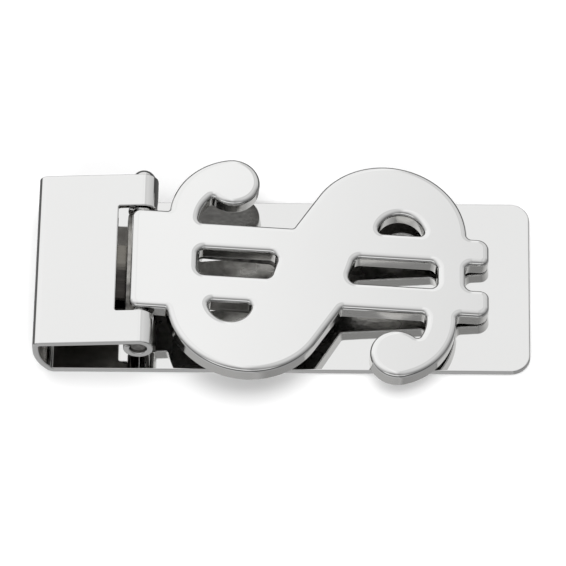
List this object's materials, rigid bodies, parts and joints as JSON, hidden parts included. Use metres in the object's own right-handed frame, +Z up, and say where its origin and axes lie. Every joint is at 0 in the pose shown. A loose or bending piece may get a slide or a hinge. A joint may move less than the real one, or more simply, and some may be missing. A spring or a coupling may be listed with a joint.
{
  "type": "money clip",
  "caption": "Hinged money clip: a folded sheet-metal body whose ears hold a pin, and a cast dollar-sign arm that swings up and snaps shut over notes on the back plate.",
  "frame": {"origin": "middle of the back plate's underside: half of the overall length and half of the sheet's width", "axes": "+X from the fold to the free end of the back plate, +Y across, +Z up through the arm; right handed"},
  "size_m": [0.0508, 0.026, 0.0062],
  "materials": {
    "plated_sheet": "mirror polished, bright plated",
    "plated_casting": "mirror polished face, bright plated, softly rounded edges",
    "plated_pin": "bright plated, peened end",
    "spring_steel": "rolled spring strip"
  },
  "bodies": {
    "clip": {"clip_body": "plated_sheet", "hinge_pin": "plated_pin", "leaf_spring": "spring_steel"},
    "arm": {"dollar_arm": "plated_casting"}
  },
  "joints": [
    {"name": "arm_hinge", "type": "hinge", "parent": "clip", "child": "arm", "pos_m": [-0.0146, 0, 0.00448], "axis": [0, -1, 0], "range_deg": [0, 90], "stiffness_Nm_per_rad": 0.006, "springref_deg": -34.38, "deforming": ["leaf_spring"]}
  ]
}
